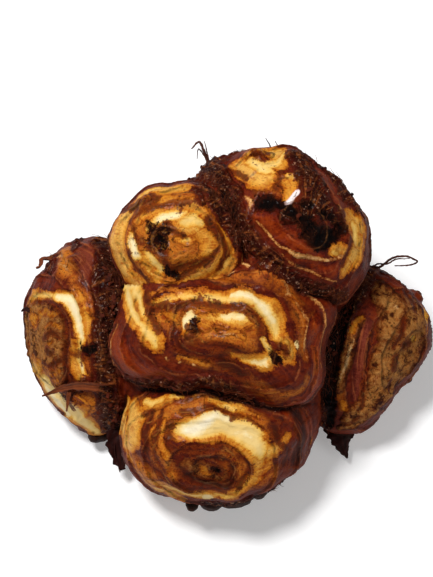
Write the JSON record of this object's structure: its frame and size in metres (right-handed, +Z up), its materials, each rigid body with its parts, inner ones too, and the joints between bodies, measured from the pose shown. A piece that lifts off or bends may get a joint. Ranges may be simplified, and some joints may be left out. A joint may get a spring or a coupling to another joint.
{
  "type": "many-headed taro corm",
  "caption": "Fused clump of taro heads with leaf-scar rings, worn skin over pale flesh, and dry husk and rootlets, for food and kitchen scenes.",
  "frame": {"origin": "middle of the footprint, on the surface that the clump rests on", "axes": "+X across the clump, its longest way; +Y away from the side that the crown of heads is tipped towards; +Z up"},
  "size_m": [0.1974, 0.166, 0.113],
  "materials": {
    "corm_skin": "damp brown skin, rubbed to ochre and cream flesh on the heads",
    "dry_husk": "dry fibrous leaf-base remains, dark maroon brown",
    "rootlet": "dry brown root fibre"
  },
  "bodies": {
    "root": {"corm": "corm_skin", "left_leaf_scale": "dry_husk", "left_tatter": "dry_husk", "left_curl": "dry_husk", "lower_left_husk": "dry_husk", "lower_right_husk": "dry_husk", "upper_right_husk": "dry_husk", "crown_rootlet": "rootlet", "right_rootlet": "rootlet"}
  },
  "joints": []
}
